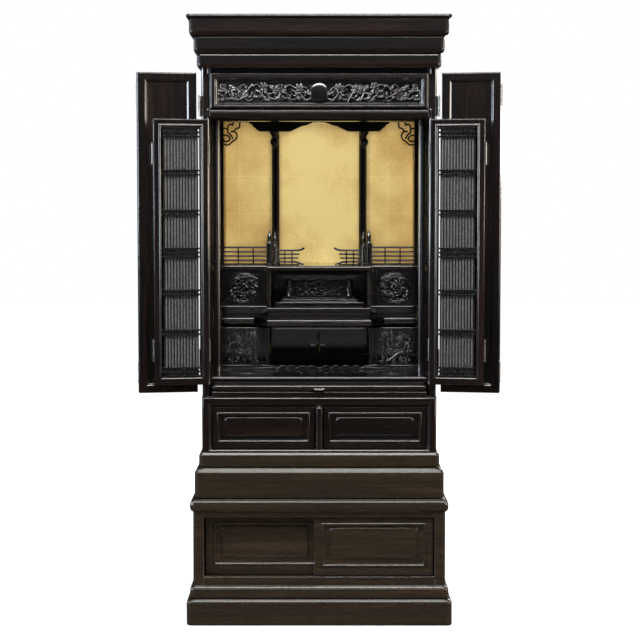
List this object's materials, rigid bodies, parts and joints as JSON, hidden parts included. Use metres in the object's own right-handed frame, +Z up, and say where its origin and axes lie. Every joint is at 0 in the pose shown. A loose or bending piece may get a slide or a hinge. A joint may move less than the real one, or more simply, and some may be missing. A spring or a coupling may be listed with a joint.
{
  "type": "household altar cabinet",
  "caption": "Tall dark-wood household altar cabinet, open: folded outer and lattice doors, carved gilt-backed altar with railings, drawers and sliding doors.",
  "frame": {"origin": "middle of the underside of the plinth", "axes": "+Z up, -Y towards the front, +X to the right as seen from the front"},
  "size_m": [0.9614, 0.6075, 1.6],
  "materials": {
    "ebony": "polished ebony",
    "base_wood": "polished rosewood",
    "carved": "carved and polished ebony",
    "gold": "gilt boards",
    "steel": "dull steel"
  },
  "bodies": {
    "cabinet": {"drawer_case": "ebony", "sub_floor": "ebony", "altar_floor": "ebony", "upper_case": "ebony", "skirt": "ebony", "post_left": "ebony", "post_right": "ebony", "lintel": "ebony", "head_frame": "ebony", "cornice_lower": "ebony", "cornice_middle": "ebony", "cornice_upper": "ebony", "top_board": "ebony", "jamb_left": "ebony", "jamb_right": "ebony", "tier_top": "ebony", "waist": "ebony", "mid_shelf": "ebony", "niche_case": "ebony", "altar_core": "ebony", "plinth": "base_wood", "base_board": "base_wood", "base_case": "base_wood", "base_top": "base_wood", "step_large": "base_wood", "step_small": "base_wood", "head_boss": "carved", "frieze": "carved", "valance": "carved", "bracket_left": "carved", "bracket_right": "carved", "pillar_left": "carved", "pillar_right": "carved", "railing_left": "carved", "railing_right": "carved", "round_panel_left": "carved", "round_panel_right": "carved", "square_panel_left": "carved", "square_panel_right": "carved", "pedestal": "carved", "gold_lining": "gold", "outer_hinge_upper_left": "steel", "outer_hinge_upper_right": "steel", "outer_hinge_lower_left": "steel", "outer_hinge_lower_right": "steel"},
    "drawer_left": {"drawer_left": "ebony"},
    "drawer_right": {"drawer_right": "ebony"},
    "slide_board": {"slide_board": "ebony"},
    "base_door_left": {"base_door_left": "base_wood"},
    "base_door_right": {"base_door_right": "base_wood"},
    "altar_door_left": {"altar_door_left": "carved"},
    "altar_door_right": {"altar_door_right": "carved"},
    "outer_left_hung": {"outer_left_a": "ebony"},
    "outer_left_folded": {"outer_left_b": "ebony"},
    "outer_right_hung": {"outer_right_a": "ebony"},
    "outer_right_folded": {"outer_right_b": "ebony"},
    "lattice_left": {"lattice_left_a": "ebony", "lattice_left_b": "ebony"},
    "lattice_right": {"lattice_right_a": "ebony", "lattice_right_b": "ebony"}
  },
  "joints": [
    {"name": "outer_left_swing", "type": "hinge", "parent": "cabinet", "child": "outer_left_hung", "pos_m": [-0.3145, -0.253, 1.03475], "axis": [0, 0, -1], "range_deg": [-170, 0]},
    {"name": "outer_left_fold", "type": "hinge", "parent": "outer_left_hung", "child": "outer_left_folded", "pos_m": [-0.47789, -0.24779, 1.03475], "axis": [0, 0, -1], "range_deg": [-180, 0]},
    {"name": "outer_right_swing", "type": "hinge", "parent": "cabinet", "child": "outer_right_hung", "pos_m": [0.3145, -0.253, 1.03475], "axis": [0, 0, 1], "range_deg": [-170, 0]},
    {"name": "outer_right_fold", "type": "hinge", "parent": "outer_right_hung", "child": "outer_right_folded", "pos_m": [0.47789, -0.24779, 1.03475], "axis": [0, 0, 1], "range_deg": [-180, 0]},
    {"name": "lattice_left_swing", "type": "hinge", "parent": "cabinet", "child": "lattice_left", "pos_m": [-0.2891, -0.258, 0.985], "axis": [0, 0, -1], "range_deg": [-170, 0]},
    {"name": "lattice_right_swing", "type": "hinge", "parent": "cabinet", "child": "lattice_right", "pos_m": [0.2891, -0.258, 0.985], "axis": [0, 0, 1], "range_deg": [-170, 0]},
    {"name": "drawer_left_slide", "type": "slide", "parent": "cabinet", "child": "drawer_left", "axis": [0, -1, 0], "range_m": [0, 0.25]},
    {"name": "drawer_right_slide", "type": "slide", "parent": "cabinet", "child": "drawer_right", "axis": [0, -1, 0], "range_m": [0, 0.25]},
    {"name": "slide_board_slide", "type": "slide", "parent": "cabinet", "child": "slide_board", "axis": [0, -1, 0], "range_m": [0, 0.2]},
    {"name": "base_door_left_slide", "type": "slide", "parent": "cabinet", "child": "base_door_left", "axis": [1, 0, 0], "range_m": [0, 0.288]},
    {"name": "base_door_right_slide", "type": "slide", "parent": "cabinet", "child": "base_door_right", "axis": [-1, 0, 0], "range_m": [0, 0.288]},
    {"name": "altar_door_left_swing", "type": "hinge", "parent": "cabinet", "child": "altar_door_left", "pos_m": [-0.138, 0.089, 0.728], "axis": [0, 0, -1], "range_deg": [0, 90]},
    {"name": "altar_door_right_swing", "type": "hinge", "parent": "cabinet", "child": "altar_door_right", "pos_m": [0.138, 0.089, 0.728], "axis": [0, 0, 1], "range_deg": [0, 90]}
  ],
  "couplings": [
    {"joint": "lattice_left_swing", "follows": "outer_left_swing", "ratio": 1},
    {"joint": "lattice_right_swing", "follows": "outer_right_swing", "ratio": 1}
  ]
}
